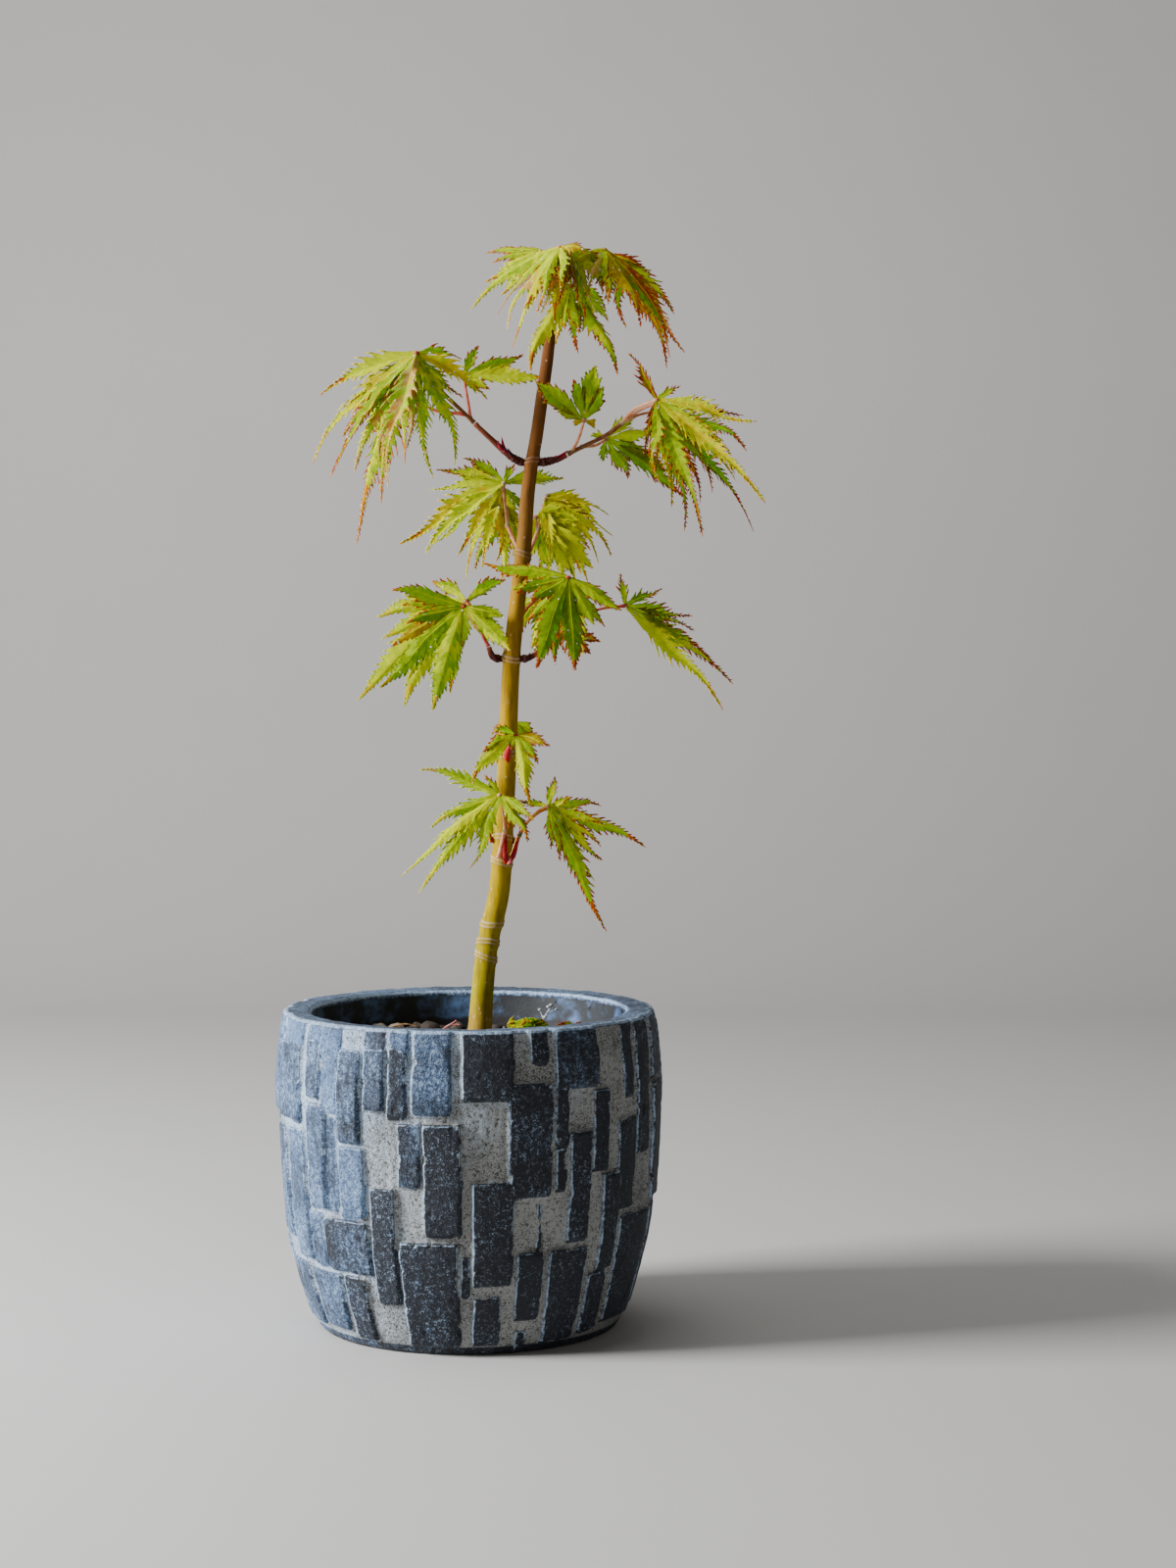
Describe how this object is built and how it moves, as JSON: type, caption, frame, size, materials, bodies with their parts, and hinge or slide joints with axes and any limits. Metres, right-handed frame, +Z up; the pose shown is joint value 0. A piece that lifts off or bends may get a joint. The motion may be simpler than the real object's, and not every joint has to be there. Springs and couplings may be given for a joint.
{
  "type": "potted japanese maple",
  "caption": "Young potted japanese maple: one leaning, tapering stem with short side shoots and drooping, deeply cut leaves, standing in a round cast cement pot of raised vertical slabs.",
  "frame": {"origin": "middle of the pot's flat underside", "axes": "+Z up, -Y towards the side that the picture shows, +X to that view's right"},
  "size_m": [0.1763, 0.1408, 0.3931],
  "materials": {
    "cement": "matte",
    "earth": "matte",
    "young_bark": "satin",
    "dark_bark": "satin",
    "foliage": "satin"
  },
  "bodies": {
    "root": {"pot": "cement", "soil": "earth", "trunk": "young_bark", "upper_left_shoot": "dark_bark", "upper_right_shoot": "dark_bark", "mid_left_shoot": "dark_bark", "mid_right_shoot": "dark_bark", "foliage_top": "foliage", "foliage_upper_left": "foliage", "foliage_upper_right": "foliage", "foliage_centre_left": "foliage", "foliage_centre_right": "foliage", "foliage_rear_centre": "foliage", "foliage_mid_right": "foliage", "foliage_mid_left": "foliage", "foliage_rear_mid": "foliage", "foliage_low_front": "foliage", "foliage_low_left": "foliage", "foliage_low_right": "foliage", "foliage_rear_low": "foliage"}
  },
  "joints": []
}
